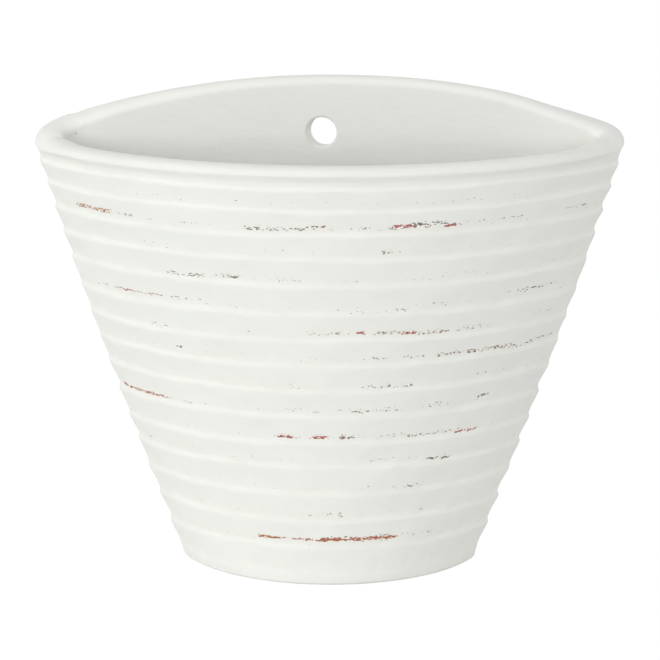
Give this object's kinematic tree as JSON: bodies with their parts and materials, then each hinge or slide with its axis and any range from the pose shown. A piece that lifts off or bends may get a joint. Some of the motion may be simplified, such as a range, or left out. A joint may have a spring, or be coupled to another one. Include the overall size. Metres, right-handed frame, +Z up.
{
  "type": "wall planter",
  "caption": "Bowed wall pocket planter in whitewashed ringed terracotta: tapering ringed front wall with a rolled rim, flat arched back plate with a hanging hole, small flat base.",
  "frame": {"origin": "middle of the box's underside, on the surface that the pot stands on", "axes": "+X across the pot, -Y towards the bowed front, +Y towards the wall behind, +Z up"},
  "size_m": [0.1996, 0.0689, 0.1682],
  "materials": {
    "painted_terracotta": "satin"
  },
  "bodies": {
    "root": {"ribbed_front_wall": "painted_terracotta", "arched_back_plate": "painted_terracotta", "floor_plate": "painted_terracotta"}
  },
  "joints": []
}
